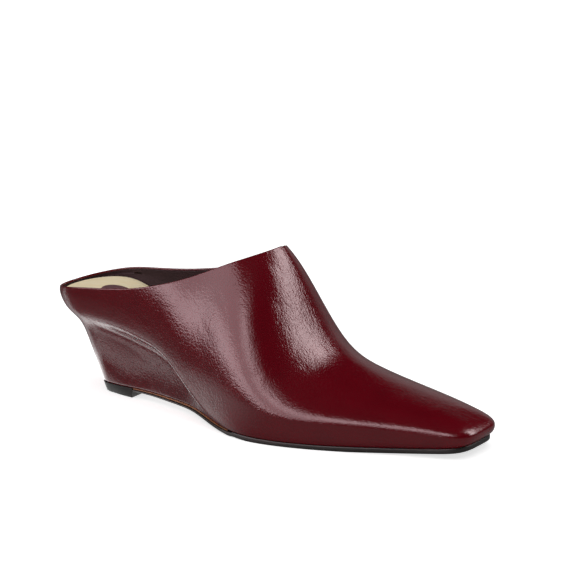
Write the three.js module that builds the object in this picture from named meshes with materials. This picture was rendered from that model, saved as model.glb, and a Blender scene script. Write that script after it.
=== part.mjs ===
// Heeled wedge mule, right shoe, built on the shape of its last.
// Millimetres, toe towards +X, outer side of the foot towards -Y, sole on Z = 0.

import * as THREE from "three";
import { mergeVertices } from "three/addons/utils/BufferGeometryUtils.js";

// Driving dimensions

const SHOE_LENGTH = 250;
const BALL_WIDTH = 85;
const LAST_HEIGHT = 94;
const HEEL_START = 1.6;
const HEEL_CURVE = 27;
const HEEL_ROUNDNESS = 2.15;
const TOE_CURVE = 16;
const TOE_SQUARENESS = 4.2;
const RIDGE_HEEL = 30;
const RIDGE_SETBACK = 24;
const RIDGE_EASE = 5;
const FLANK_EASE = 4;
const ROW_EASE = 16;

const LEATHER_THICKNESS = 1.6;
const FIT_GAP = 0.3;
const RIM_ROUNDING = 0.5;
const INSOLE_THICKNESS = 3.2;
const STRIP_THICKNESS = 1;
const SOLE_THICKNESS = 2.5;
const SOLE_LIP = 0.4;
const SOLE_STEP_SETBACK = 3;
const SOLE_STEP_EASE = 0.7;
const LIFT_TAPER = 1.8;
const LIFT_TAPER_LENGTH = 20;
const LIFT_LIP = 0.3;
const BUTT_GAP = 0.4;
const PATCH_HALF_LENGTH = 13;
const PATCH_HALF_WIDTH = 10.5;
const PATCH_THICKNESS = 0.8;

// Places along the shoe, as shares of its length

const RIDGE_TOE = SHOE_LENGTH - RIDGE_SETBACK;
const WEDGE_FRONT = 0.544 * SHOE_LENGTH;
const STRIP_FRONT = 0.52 * SHOE_LENGTH;
const LIFT_FRONT = 0.198 * SHOE_LENGTH;
const PATCH_CENTRE = 0.144 * SHOE_LENGTH;
const THROAT_RANGE = [0.36 * SHOE_LENGTH, 0.64 * SHOE_LENGTH];

const COLLAR_STATIONS = 28;
const VAMP_STATIONS = 18;
const WEDGE_ROWS = 7;
const GIRTH_ROWS = 3;
const VAMP_ROWS = 11;

// Plan of the last: half widths at the widest line, then where the leather meets the sole,
// and the line on which the two sides of the vamp meet. The two places are shares of
// SHOE_LENGTH, and the widths are shares of BALL_WIDTH.

const PLAN = {
  columns: ["at", "outer", "inner", "edgeAt", "edgeOuter", "edgeInner", "ridge"],
  units: [BALL_WIDTH, BALL_WIDTH, SHOE_LENGTH, BALL_WIDTH, BALL_WIDTH, BALL_WIDTH],
  rows: [
    [0.0, 0.306, 0.294, 0.1136, 0.171, 0.171, 0.0],
    [0.08, 0.324, 0.318, 0.138, 0.193, 0.188, 0.0],
    [0.16, 0.335, 0.329, 0.186, 0.212, 0.202, 0.0],
    [0.26, 0.359, 0.335, 0.264, 0.221, 0.209, 0.012],
    [0.32, 0.382, 0.341, 0.32, 0.254, 0.219, 0.024],
    [0.38, 0.424, 0.353, 0.38, 0.305, 0.241, 0.035],
    [0.46, 0.498, 0.376, 0.46, 0.438, 0.3, 0.053],
    [0.54, 0.565, 0.406, 0.54, 0.546, 0.365, 0.059],
    [0.62, 0.571, 0.429, 0.62, 0.552, 0.402, 0.047],
    [0.7, 0.518, 0.429, 0.7, 0.498, 0.407, 0.035],
    [0.8, 0.414, 0.371, 0.796, 0.392, 0.351, 0.018],
    [0.9, 0.306, 0.282, 0.89, 0.282, 0.259, 0.006],
    [1.0, 0.226, 0.168, 0.988, 0.212, 0.168, 0.0],
  ],
};

// Heights as shares of LAST_HEIGHT: lower edge of the leather, widest line, ridge,
// and the topline on each side. The last column is how square the vamp's section is.

const HEIGHTS = {
  columns: ["at", "foot", "girth", "crown", "rimOuter", "rimInner", "fullness"],
  units: [LAST_HEIGHT, LAST_HEIGHT, LAST_HEIGHT, LAST_HEIGHT, LAST_HEIGHT, 1],
  rows: [
    [0.0, 0.0585, 0.523, 0.66, 0.54, 0.54, 2.2],
    [0.08, 0.0585, 0.564, 0.787, 0.59, 0.585, 2.2],
    [0.16, 0.0585, 0.564, 0.872, 0.617, 0.606, 2.6],
    [0.26, 0.0553, 0.51, 0.936, 0.66, 0.638, 3],
    [0.32, 0.0532, 0.42, 0.973, 0.702, 0.67, 2.6],
    [0.38, 0.0511, 0.31, 1.0, 0.755, 0.718, 1.95],
    [0.46, 0.0404, 0.24, 1.0, 0.849, 0.824, 1.8],
    [0.54, 0.0309, 0.21, 0.846, 0.926, 0.926, 1.8],
    [0.62, 0.0266, 0.165, 0.487, 0.979, 0.979, 1.8],
    [0.7, 0.0266, 0.148, 0.33, 0.979, 0.979, 1.8],
    [0.8, 0.0309, 0.138, 0.2585, 0.979, 0.979, 2],
    [0.9, 0.0415, 0.122, 0.213, 0.979, 0.979, 2.3],
    [1.0, 0.0702, 0.112, 0.168, 0.979, 0.979, 2.7],
  ],
};

// How the flank goes in from the widest line to the sole: an even slope, then a valley
// whose height, depth and softness are shares of LAST_HEIGHT

const FLANK = {
  columns: ["at", "slope", "valley", "step", "softness"],
  units: [1, LAST_HEIGHT, LAST_HEIGHT, LAST_HEIGHT],
  rows: [
    [0.0, 0.39, 0.42, 0.064, 0.049],
    [0.08, 0.33, 0.42, 0.077, 0.045],
    [0.16, 0.16, 0.399, 0.09, 0.04],
    [0.26, 0.08, 0.351, 0.101, 0.034],
    [0.32, 0.05, 0.303, 0.101, 0.03],
    [0.38, 0.03, 0.197, 0.09, 0.0255],
    [0.46, 0.02, 0.069, 0.053, 0.0213],
    [0.54, 0.02, 0.032, 0.032, 0.0213],
    [0.62, 0.02, 0.0266, 0.0266, 0.0213],
    [0.8, 0.02, 0.031, 0.0266, 0.0213],
    [0.9, 0.02, 0.04, 0.0266, 0.0213],
    [1.0, 0.1, 0.064, 0.0266, 0.0234],
  ],
};

// Underside of the insole as a share of LAST_HEIGHT, and the layers below the leather
// as shares of STRIP_THICKNESS and SOLE_THICKNESS

const LAYERS = {
  columns: ["at", "bed", "strip", "sole"],
  units: [LAST_HEIGHT, STRIP_THICKNESS, SOLE_THICKNESS],
  rows: [
    [0.0, 0.496, 0.5, 0.32],
    [0.04, 0.506, 0.5, 0.32],
    [0.08, 0.506, 0.5, 0.32],
    [0.112, 0.49, 0.5, 0.32],
    [0.136, 0.469, 0.5, 0.32],
    [0.18, 0.428, 0.5, 0.32],
    [0.26, 0.346, 0.6, 0.32],
    [0.32, 0.279, 0.8, 0.36],
    [0.38, 0.206, 1.0, 0.4],
    [0.46, 0.116, 0.8, 0.56],
    [0.5, 0.079, 0.6, 0.64],
    [0.54, 0.053, 0.3, 0.84],
    [0.62, 0.031, 0.3, 1.0],
    [0.7, 0.028, 0.3, 1.0],
    [0.8, 0.032, 0.3, 0.96],
    [0.9, 0.0426, 0.3, 0.92],
    [1.0, 0.0713, 0.3, 1.0],
  ],
};

// Natural cubic curve through the rows of a table, held level past its ends

function curve(xs, ys) {
  const n = xs.length;
  const diagonal = new Array(n).fill(1);
  const right = new Array(n).fill(0);
  const upper = new Array(n).fill(0);
  for (let i = 1; i < n - 1; i += 1) {
    const before = xs[i] - xs[i - 1];
    const after = xs[i + 1] - xs[i];
    const rise = 6 * ((ys[i + 1] - ys[i]) / after - (ys[i] - ys[i - 1]) / before);
    const pivot = 2 * (before + after) - before * upper[i - 1];
    diagonal[i] = pivot;
    upper[i] = after / pivot;
    right[i] = (rise - before * right[i - 1]) / pivot;
  }
  const bend = new Array(n).fill(0);
  for (let i = n - 2; i > 0; i -= 1) {
    bend[i] = right[i] - upper[i] * bend[i + 1];
  }
  return (value) => {
    const x = Math.min(Math.max(value, xs[0]), xs[n - 1]);
    let i = 0;
    while (i < n - 2 && x >= xs[i + 1]) i += 1;
    const h = xs[i + 1] - xs[i];
    const a = x - xs[i];
    const b = xs[i + 1] - x;
    const ends = (bend[i] * b ** 3 + bend[i + 1] * a ** 3) / (6 * h);
    const low = (ys[i] / h - (bend[i] * h) / 6) * b;
    const high = (ys[i + 1] / h - (bend[i + 1] * h) / 6) * a;
    return ends + low + high;
  };
}

function curves(table) {
  const xs = table.rows.map((row) => row[0] * SHOE_LENGTH);
  const result = {};
  table.columns.slice(1).forEach((name, k) => {
    result[name] = curve(xs, table.rows.map((row) => row[k + 1] * table.units[k]));
  });
  return result;
}

const last = { ...curves(PLAN), ...curves(HEIGHTS), ...curves(FLANK), ...curves(LAYERS) };

// Stations along the shoe, closer together where the topline closes over the foot

function roundEnd(share, roundness) {
  return Math.max(0, 1 - Math.min(share, 1) ** roundness) ** (1 / roundness);
}

function planFactor(x) {
  const heel = (HEEL_START + HEEL_CURVE - x) / HEEL_CURVE;
  const toe = (x - (SHOE_LENGTH - TOE_CURVE)) / TOE_CURVE;
  if (heel > 0) return roundEnd(heel, HEEL_ROUNDNESS);
  if (toe > 0) return roundEnd(toe, TOE_SQUARENESS);
  return 1;
}

function planPoint(x, side) {
  const width = side < 0 ? last.outer(x) : last.inner(x);
  return [x, side * width * planFactor(x)];
}

function edgePoint(x, side) {
  const width = side < 0 ? last.edgeOuter(x) : last.edgeInner(x);
  return [last.edgeAt(x), side * width * planFactor(x)];
}

function ridgeX(x) {
  const soft = (value) => RIDGE_EASE * Math.log1p(Math.exp(value / RIDGE_EASE));
  const clear = RIDGE_HEEL + soft(x - RIDGE_HEEL);
  return RIDGE_TOE - soft(RIDGE_TOE - clear);
}

function throatStation() {
  let [low, high] = THROAT_RANGE;
  for (let pass = 0; pass < 50; pass += 1) {
    const middle = (low + high) / 2;
    const at = ridgeX(middle);
    if (last.crown(at) > last.rimOuter(at)) low = middle;
    else high = middle;
  }
  return (low + high) / 2;
}

function spreadStations(from, to, count, closeness) {
  const steps = 1600;
  const length = [0];
  const xs = [from];
  const place = (w) => {
    const ends = (1 - Math.cos(Math.PI * w)) / 2;
    return from + (to - from) * ends;
  };
  for (let i = 1; i <= steps; i += 1) {
    const x = place(i / steps);
    const a = planPoint(xs[i - 1], -1);
    const b = planPoint(x, -1);
    xs.push(x);
    length.push(length[i - 1] + Math.hypot(b[0] - a[0], b[1] - a[1]));
  }
  const stations = [];
  for (let k = 0; k <= count; k += 1) {
    const goal = length[steps] * (k / count) ** closeness;
    let i = 0;
    while (i < steps - 1 && length[i + 1] < goal) i += 1;
    const part = (goal - length[i]) / (length[i + 1] - length[i]);
    stations.push(xs[i] + (xs[i + 1] - xs[i]) * part);
  }
  return stations;
}

const THROAT = throatStation();
const vampStations = spreadStations(THROAT, SHOE_LENGTH, VAMP_STATIONS, 1.15).reverse();
const collarStations = spreadStations(THROAT, HEEL_START, COLLAR_STATIONS, 1.45);
const stations = [...vampStations, ...collarStations.slice(1)];

function stationNear(x) {
  let best = 0;
  stations.forEach((value, k) => {
    if (Math.abs(value - x) < Math.abs(stations[best] - x)) best = k;
  });
  return best;
}

for (const mark of [WEDGE_FRONT, STRIP_FRONT, LIFT_FRONT]) stations[stationNear(mark)] = mark;
const LAST_STATION = stations.length - 1;
const THROAT_INDEX = VAMP_STATIONS;

// The ring runs from the toe round the outer side to the heel and back round the inner side

const RING = 2 * LAST_STATION;

function ringPlace(i) {
  const k = i <= LAST_STATION ? i : RING - i;
  const side = i <= LAST_STATION ? -1 : 1;
  return { k, side, x: stations[k] };
}

function inwardOf(outline, place) {
  const { k, side, x } = place;
  if (k === 0) return [-1, 0];
  if (k === LAST_STATION) return [1, 0];
  const reach = Math.min(0.4, (x - HEEL_START) / 2, (SHOE_LENGTH - x) / 2);
  const a = outline(x - reach, side);
  const b = outline(x + reach, side);
  const dx = b[0] - a[0];
  const dy = b[1] - a[1];
  const size = Math.hypot(dx, dy);
  return [(side * dy) / size, (-side * dx) / size];
}

const ring = [];
for (let i = 0; i < RING; i += 1) {
  const place = ringPlace(i);
  const point = planPoint(place.x, place.side);
  const edge = edgePoint(place.x, place.side);
  const inward = inwardOf(planPoint, place);
  const edgeInward = inwardOf(edgePoint, place);
  ring.push({ ...place, point, edge, inward, edgeInward });
}

// Surface of the leather

function flankReach(x, z) {
  const drop = Math.max(last.girth(x) - z, 0);
  const fall = (height) => (1 + Math.tanh((last.valley(x) - height) / last.softness(x))) / 2;
  const slope = (last.slope(x) * drop * drop) / (drop + FLANK_EASE);
  return slope + last.step(x) * (fall(z) - fall(last.girth(x)));
}

function flankPoint(entry, z) {
  const share = flankReach(entry.x, z) / flankReach(entry.x, last.foot(entry.edge[0]));
  const x = entry.point[0] + (entry.edge[0] - entry.point[0]) * share;
  const y = entry.point[1] + (entry.edge[1] - entry.point[1]) * share;
  return [x, y, z];
}

function vampPoint(entry, turn) {
  const girth = last.girth(entry.x);
  const power = 2 / last.fullness(entry.x);
  const across = turn >= 1 ? 0 : Math.cos((turn * Math.PI) / 2) ** power;
  const up = Math.sin((Math.min(turn, 1) * Math.PI) / 2) ** power;
  const rx = ridgeX(entry.x);
  const x = rx + (entry.point[0] - rx) * across;
  const ry = last.ridge(rx);
  const y = ry + (entry.point[1] - ry) * across;
  return [x, y, girth + (last.crown(x) - girth) * up];
}

function rimTurn(entry) {
  if (entry.k <= THROAT_INDEX) return 1;
  const rim = entry.side < 0 ? last.rimOuter : last.rimInner;
  let low = 0;
  let high = 1;
  for (let pass = 0; pass < 50; pass += 1) {
    const middle = (low + high) / 2;
    const point = vampPoint(entry, middle);
    const edge = entry.k === LAST_STATION ? last.rimOuter : rim;
    if (point[2] < edge(point[0])) low = middle;
    else high = middle;
  }
  return low;
}

// A shell keeps one copy of each corner and turns itself outward when it is closed

class Shell {
  constructor() {
    this.points = [];
    this.faces = [];
    this.index = new Map();
  }

  corner(point) {
    const key = point.map((value) => Math.round(value * 2000)).join(" ");
    if (!this.index.has(key)) {
      this.index.set(key, this.points.length);
      this.points.push(point);
    }
    return this.index.get(key);
  }

  triangle(a, b, c) {
    const ids = [this.corner(a), this.corner(b), this.corner(c)];
    if (ids[0] === ids[1] || ids[1] === ids[2] || ids[0] === ids[2]) return;
    this.faces.push(ids);
  }

  quad(a, b, c, d, split) {
    const one = Math.hypot(a[0] - c[0], a[1] - c[1], a[2] - c[2]);
    const two = Math.hypot(b[0] - d[0], b[1] - d[1], b[2] - d[2]);
    if (split === "forward" || (split === "short" && one <= two)) {
      this.triangle(a, b, c);
      this.triangle(a, c, d);
    } else {
      this.triangle(a, b, d);
      this.triangle(b, c, d);
    }
  }

  sheet(rows, split = "short") {
    for (let i = 0; i + 1 < rows.length; i += 1) {
      for (let j = 0; j + 1 < rows[i].length; j += 1) {
        this.quad(rows[i][j], rows[i][j + 1], rows[i + 1][j + 1], rows[i + 1][j], split);
      }
    }
  }

  normals() {
    const sums = this.points.map(() => new THREE.Vector3());
    const side = new THREE.Vector3();
    const other = new THREE.Vector3();
    for (const face of this.faces) {
      const [a, b, c] = face.map((id) => new THREE.Vector3(...this.points[id]));
      side.subVectors(b, a);
      other.subVectors(c, a);
      side.cross(other);
      for (const id of face) sums[id].add(side);
    }
    return sums.map((sum) => sum.normalize());
  }

  volume() {
    let total = 0;
    for (const face of this.faces) {
      const [a, b, c] = face.map((id) => this.points[id]);
      total += a[0] * (b[1] * c[2] - b[2] * c[1]);
      total -= a[1] * (b[0] * c[2] - b[2] * c[0]);
      total += a[2] * (b[0] * c[1] - b[1] * c[0]);
    }
    return total / 6;
  }

  mesh(name, material) {
    const flip = this.volume() < 0;
    const values = [];
    for (const face of this.faces) {
      const order = flip ? [face[0], face[2], face[1]] : face;
      for (const id of order) values.push(...this.points[id]);
    }
    const geometry = new THREE.BufferGeometry();
    geometry.setAttribute("position", new THREE.Float32BufferAttribute(values, 3));
    const mesh = new THREE.Mesh(mergeVertices(geometry, 1e-4), material);
    mesh.name = name;
    return mesh;
  }
}

// Columns of points on the leather, moved inward by any distance

const BELOW = 4;
const DEEP_ROWS = 30;

function deepColumns() {
  const rows = ring.map((entry) => {
    const low = last.foot(entry.edge[0]) - BELOW;
    const high = last.girth(entry.x);
    const column = [];
    for (let r = 0; r <= DEEP_ROWS; r += 1) {
      column.push(flankPoint(entry, low + ((high - low) * r) / DEEP_ROWS));
    }
    for (let r = 1; r <= 3; r += 1) {
      column.push(vampPoint(entry, r * 0.12));
    }
    return column;
  });
  const shell = new Shell();
  shell.sheet([...rows, rows[0]]);
  const normals = shell.normals();
  return rows.map((column, i) => {
    const inward = ring[i].inward;
    return column.map((point) => {
      const normal = normals[shell.corner(point)];
      const sign = normal.x * inward[0] + normal.y * inward[1] > 0 ? 1 : -1;
      return { point, away: [normal.x * sign, normal.y * sign, normal.z * sign] };
    });
  });
}

const deep = deepColumns();

function insidePoint(i, height, distance) {
  const moved = deep[i].map(({ point, away }) => point.map((value, k) => value + away[k] * distance));
  let result = moved[0];
  for (let pass = 0; pass < 4; pass += 1) {
    const goal = typeof height === "function" ? height(result[0]) : height;
    let r = 0;
    while (r < moved.length - 2 && moved[r + 1][2] < goal) r += 1;
    const part = (goal - moved[r][2]) / (moved[r + 1][2] - moved[r][2]);
    result = moved[r].map((value, k) => value + (moved[r + 1][k] - value) * part);
  }
  return result;
}

// Upper: one folded skin with a real wall, open at the collar and underneath
// Its rows fall in step with the wedge and the insole, so that they lie close inside it

const FLANK_ROWS = WEDGE_ROWS + 1 + GIRTH_ROWS;
const FOREFOOT_SHARE = 0.75;

function flankHeights(i) {
  const { x, edge } = ring[i];
  const foot = last.foot(edge[0]);
  const girth = last.girth(x);
  const distance = LEATHER_THICKNESS + FIT_GAP;
  const insoleTop = insidePoint(i, (at) => last.bed(at) + INSOLE_THICKNESS, distance)[2];
  const wedgeTop = insidePoint(i, (at) => last.bed(at) - FIT_GAP, distance)[2];
  const forward = Math.min(Math.max((x - WEDGE_FRONT) / ROW_EASE, 0), 1);
  const share = ((wedgeTop - foot) / (insoleTop - foot)) * (1 - forward) + FOREFOOT_SHARE * forward;
  const step = foot + (insoleTop - foot) * share;
  const heights = [];
  for (let r = 0; r <= WEDGE_ROWS; r += 1) heights.push(foot + ((step - foot) * r) / WEDGE_ROWS);
  for (let r = 0; r <= GIRTH_ROWS; r += 1) {
    heights.push(insoleTop + ((girth - insoleTop) * r) / GIRTH_ROWS);
  }
  return heights;
}

function outerColumn(entry, i) {
  const column = flankHeights(i).map((height) => flankPoint(entry, height));
  const turn = rimTurn(entry);
  for (let r = 1; r <= VAMP_ROWS; r += 1) {
    column.push(vampPoint(entry, (turn * r) / VAMP_ROWS));
  }
  return column;
}

function buildUpper(material) {
  const outside = ring.map(outerColumn);
  const skin = new Shell();
  skin.sheet([...outside, outside[0]]);
  const normals = skin.normals();
  const inside = outside.map((column, i) => column.map((point, r) => {
    if (r <= FLANK_ROWS) return insidePoint(i, point[2], LEATHER_THICKNESS);
    const normal = normals[skin.corner(point)];
    const inward = ring[i].inward;
    const level = normal.x * inward[0] + normal.y * inward[1];
    const up = r > FLANK_ROWS + 4 ? -Math.sign(normal.z) : Math.sign(level);
    const reach = LEATHER_THICKNESS * up;
    return [point[0] + normal.x * reach, point[1] + normal.y * reach, point[2] + normal.z * reach];
  }));
  const shell = new Shell();
  shell.sheet([...outside, outside[0]], "forward");
  const lining = inside.map((column) => [...column].reverse());
  shell.sheet([...lining, lining[0]], "back");
  const foot = outside.map((column, i) => [inside[i][0], column[0]]);
  shell.sheet([...foot, foot[0]]);
  const rim = [];
  for (let i = THROAT_INDEX; i <= RING - THROAT_INDEX; i += 1) {
    const a = outside[i][outside[i].length - 1];
    const b = inside[i][inside[i].length - 1];
    const middle = a.map((value, k) => (value + b[k]) / 2);
    middle[2] += RIM_ROUNDING;
    rim.push([a, middle, b]);
  }
  shell.sheet(rim);
  return shell.mesh("upper", material);
}

// Plates: pieces that fill the plan of the shoe between two heights

function buildPlate(name, material, plan) {
  const { from, to, low, high, place, sideRows = 1, crossRows = 3 } = plan;
  const shell = new Shell();
  const column = (i) => {
    const points = [];
    for (let r = 0; r <= sideRows; r += 1) points.push(place(i % RING, r / sideRows));
    return points;
  };
  const across = (k, height, end) => {
    const a = place(k, end);
    const b = place((RING - k) % RING, end);
    const points = [];
    for (let j = 0; j <= crossRows; j += 1) {
      const t = j / crossRows;
      const x = a[0] + (b[0] - a[0]) * t;
      const y = a[1] + (b[1] - a[1]) * t;
      const edge = a[2] + (b[2] - a[2]) * t;
      points.push([x, y, j === 0 || j === crossRows ? edge : height(x, y)]);
    }
    return points;
  };
  const outerSide = [];
  for (let i = from; i <= to; i += 1) outerSide.push(column(i));
  const innerSide = [];
  for (let i = RING - to; i <= RING - from; i += 1) innerSide.push(column(i));
  shell.sheet(outerSide, "forward");
  shell.sheet(innerSide, "forward");
  const top = [];
  const bottom = [];
  for (let k = from; k <= to; k += 1) {
    top.push(across(k, high, 1));
    bottom.push(across(k, low, 0).reverse());
  }
  shell.sheet(top);
  shell.sheet(bottom);
  const close = (k, turned) => {
    const rows = [];
    for (let r = 0; r <= sideRows; r += 1) {
      const t = r / sideRows;
      const lowLine = across(k, low, 0);
      const highLine = across(k, high, 1);
      const a = place(k, t);
      const b = place((RING - k) % RING, t);
      rows.push(lowLine.map((point, j) => {
        if (r === 0) return point;
        if (r === sideRows) return highLine[j];
        if (j === 0) return a;
        if (j === crossRows) return b;
        return point.map((value, axis) => value + (highLine[j][axis] - value) * t);
      }));
    }
    shell.sheet(turned ? rows.reverse() : rows);
  };
  if (from > 0) close(from, false);
  if (to < LAST_STATION) close(to, true);
  return shell.mesh(name, material);
}

function insetFill(low, high, distance) {
  return (i, t) => {
    const bottom = insidePoint(i, low, distance)[2];
    const top = insidePoint(i, high, distance)[2];
    return insidePoint(i, bottom + (top - bottom) * t, distance);
  };
}

// A piece under the leather has edges that follow the leather's lower edge

function edgePlace(low, high, { lip = 0, taper = 0, butt = 0 }) {
  return (i, t) => {
    const { x: at, edge, edgeInward } = ring[i];
    const back = Math.min(Math.max((LIFT_FRONT - at) / LIFT_TAPER_LENGTH, 0), 1);
    const move = -lip + taper * back * (1 - t);
    const x = at === LIFT_FRONT ? edge[0] + butt : edge[0] + edgeInward[0] * move;
    return [x, edge[1] + edgeInward[1] * move, low(x) + (high(x) - low(x)) * t];
  };
}

function buildInsole(material) {
  const low = (x) => last.bed(x);
  const high = (x) => last.bed(x) + INSOLE_THICKNESS;
  const distance = LEATHER_THICKNESS + FIT_GAP;
  const place = insetFill(low, high, distance);
  return buildPlate("insole", material, { from: 0, to: LAST_STATION, low, high, place });
}

function buildWedge(material) {
  const low = (x) => last.foot(x);
  const high = (x) => last.bed(x) - FIT_GAP;
  const distance = LEATHER_THICKNESS + FIT_GAP;
  const place = insetFill(low, high, distance);
  const plan = { from: stationNear(WEDGE_FRONT), to: LAST_STATION, low, high, place, sideRows: WEDGE_ROWS };
  return buildPlate("wedge_heel", material, plan);
}

function stripLow(x) {
  return last.foot(x) - FIT_GAP - last.strip(x);
}

function soleHigh(x) {
  const past = x - STRIP_FRONT - SOLE_STEP_SETBACK;
  const forward = 1 / (1 + Math.exp(-past / SOLE_STEP_EASE));
  const covered = stripLow(x) - FIT_GAP;
  const open = last.foot(x) - FIT_GAP;
  return covered + (open - covered) * forward;
}

function soleLow(x) {
  return Math.max(soleHigh(x) - last.sole(x), 0);
}

function buildStrip(material) {
  const low = stripLow;
  const high = (x) => last.foot(x) - FIT_GAP;
  const place = edgePlace(low, high, { butt: BUTT_GAP });
  const plan = { from: stationNear(STRIP_FRONT), to: stationNear(LIFT_FRONT), low, high, place };
  return buildPlate("waist_strip", material, plan);
}

function buildOutsole(material) {
  const place = edgePlace(soleLow, soleHigh, { lip: SOLE_LIP, butt: BUTT_GAP });
  const plan = { from: 0, to: stationNear(LIFT_FRONT), low: soleLow, high: soleHigh, place };
  return buildPlate("outsole", material, plan);
}

function buildLift(material) {
  const low = () => 0;
  const high = (x) => last.foot(x) - FIT_GAP;
  const place = edgePlace(low, high, { lip: LIFT_LIP, taper: LIFT_TAPER });
  const from = stationNear(LIFT_FRONT);
  const plan = { from, to: LAST_STATION, low, high, place, crossRows: 2 };
  return buildPlate("top_lift", material, plan);
}

function buildPatch(material) {
  const shell = new Shell();
  const sides = 28;
  const floor = (x) => last.bed(x) + INSOLE_THICKNESS + FIT_GAP + 0.05;
  const rings = [0, 0.5, 1];
  const at = (share, turn, lift) => {
    const angle = (turn / sides) * Math.PI * 2;
    const x = PATCH_CENTRE + PATCH_HALF_LENGTH * share * Math.cos(angle);
    const y = PATCH_HALF_WIDTH * share * Math.sin(angle);
    return [x, y, floor(x) + lift];
  };
  const rowsAt = (share, lift) => {
    const points = [];
    for (let turn = 0; turn <= sides; turn += 1) points.push(at(share, turn % sides, lift));
    return points;
  };
  const top = rings.map((share) => rowsAt(share, PATCH_THICKNESS));
  const bottom = [...rings].reverse().map((share) => rowsAt(share, 0));
  shell.sheet([...top, ...bottom]);
  return shell.mesh("heel_patch", material);
}

// Materials, and the whole shoe set down with its middle over the origin

function material(name, color, roughness) {
  const result = new THREE.MeshStandardMaterial({ color, roughness, metalness: 0 });
  result.name = name;
  return result;
}

function centre(group) {
  const box = new THREE.Box3().setFromObject(group);
  const middle = box.getCenter(new THREE.Vector3());
  for (const mesh of group.children) {
    mesh.geometry.translate(-middle.x, -middle.y, -box.min.z);
  }
}

const shoe = new THREE.Group();
shoe.name = "wedge_mule";
const leather = material("burgundy_leather", 0x5a0c18, 0.3);
const body = material("heel_block", 0xc9b48c, 0.8);
const sock = material("beige_sock_leather", 0xe2cda0, 0.7);
const patch = material("mauve_patch", 0x5a3a40, 0.6);
const rubber = material("black_rubber", 0x26282a, 0.7);
const edge = material("brown_leather_edge", 0x7a3a12, 0.6);
shoe.add(buildUpper(leather));
shoe.add(buildWedge(body));
shoe.add(buildInsole(sock));
shoe.add(buildPatch(patch));
shoe.add(buildStrip(edge));
shoe.add(buildOutsole(rubber));
shoe.add(buildLift(rubber));
centre(shoe);

export default shoe;
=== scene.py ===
"""Heeled wedge mule, right shoe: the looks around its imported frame."""

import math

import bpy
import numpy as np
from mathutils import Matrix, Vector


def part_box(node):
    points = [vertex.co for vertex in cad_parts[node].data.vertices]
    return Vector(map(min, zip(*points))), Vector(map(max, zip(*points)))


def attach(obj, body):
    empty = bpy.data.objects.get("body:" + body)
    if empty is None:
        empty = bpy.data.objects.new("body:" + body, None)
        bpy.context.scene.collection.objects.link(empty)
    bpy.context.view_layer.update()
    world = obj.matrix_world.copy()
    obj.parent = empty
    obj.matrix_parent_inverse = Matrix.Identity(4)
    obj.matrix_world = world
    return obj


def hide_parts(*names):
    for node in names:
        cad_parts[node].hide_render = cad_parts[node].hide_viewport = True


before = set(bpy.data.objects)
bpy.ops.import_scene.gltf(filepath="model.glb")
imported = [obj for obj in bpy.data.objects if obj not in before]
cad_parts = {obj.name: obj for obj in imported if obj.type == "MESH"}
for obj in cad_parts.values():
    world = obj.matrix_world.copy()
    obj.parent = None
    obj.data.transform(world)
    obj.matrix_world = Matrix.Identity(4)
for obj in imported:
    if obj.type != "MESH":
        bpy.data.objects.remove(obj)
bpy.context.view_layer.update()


# Leather upper
# One skin of glazed burgundy calf, 1 mm thick, pulled wet over the last and the wedge and cemented
# under the edge. Its topline is folded over, and it dips into a valley where the foot bed runs.

MM = 0.001
SHOE_LENGTH = 250
BALL_WIDTH = 85
LAST_HEIGHT = 94
HEEL_START = 1.6
HEEL_CURVE = 27
HEEL_ROUNDNESS = 2.15
TOE_CURVE = 16
TOE_SQUARENESS = 4.2
RIDGE_HEEL = 30
RIDGE_TOE = SHOE_LENGTH - 24
RIDGE_EASE = 5
FLANK_EASE = 4
THROAT_RANGE = (0.36 * SHOE_LENGTH, 0.64 * SHOE_LENGTH)
HALVINGS = 50

# Plan of the last: the two places are shares of its length, the widths shares of the ball width
PLAN = {
    "columns": ("at", "outer", "inner", "edge_at", "edge_outer", "edge_inner", "ridge"),
    "units": (BALL_WIDTH, BALL_WIDTH, SHOE_LENGTH, BALL_WIDTH, BALL_WIDTH, BALL_WIDTH),
    "rows": (
        (0.0, 0.306, 0.294, 0.1136, 0.171, 0.171, 0.0),
        (0.08, 0.324, 0.318, 0.138, 0.193, 0.188, 0.0),
        (0.16, 0.335, 0.329, 0.186, 0.212, 0.202, 0.0),
        (0.26, 0.359, 0.335, 0.264, 0.221, 0.209, 0.012),
        (0.32, 0.382, 0.341, 0.32, 0.254, 0.219, 0.024),
        (0.38, 0.424, 0.353, 0.38, 0.305, 0.241, 0.035),
        (0.46, 0.498, 0.376, 0.46, 0.438, 0.3, 0.053),
        (0.54, 0.565, 0.406, 0.54, 0.546, 0.365, 0.059),
        (0.62, 0.571, 0.429, 0.62, 0.552, 0.402, 0.047),
        (0.7, 0.518, 0.429, 0.7, 0.498, 0.407, 0.035),
        (0.8, 0.414, 0.371, 0.796, 0.392, 0.351, 0.018),
        (0.9, 0.306, 0.282, 0.89, 0.282, 0.259, 0.006),
        (1.0, 0.226, 0.168, 0.988, 0.212, 0.168, 0.0),
    ),
}

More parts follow.
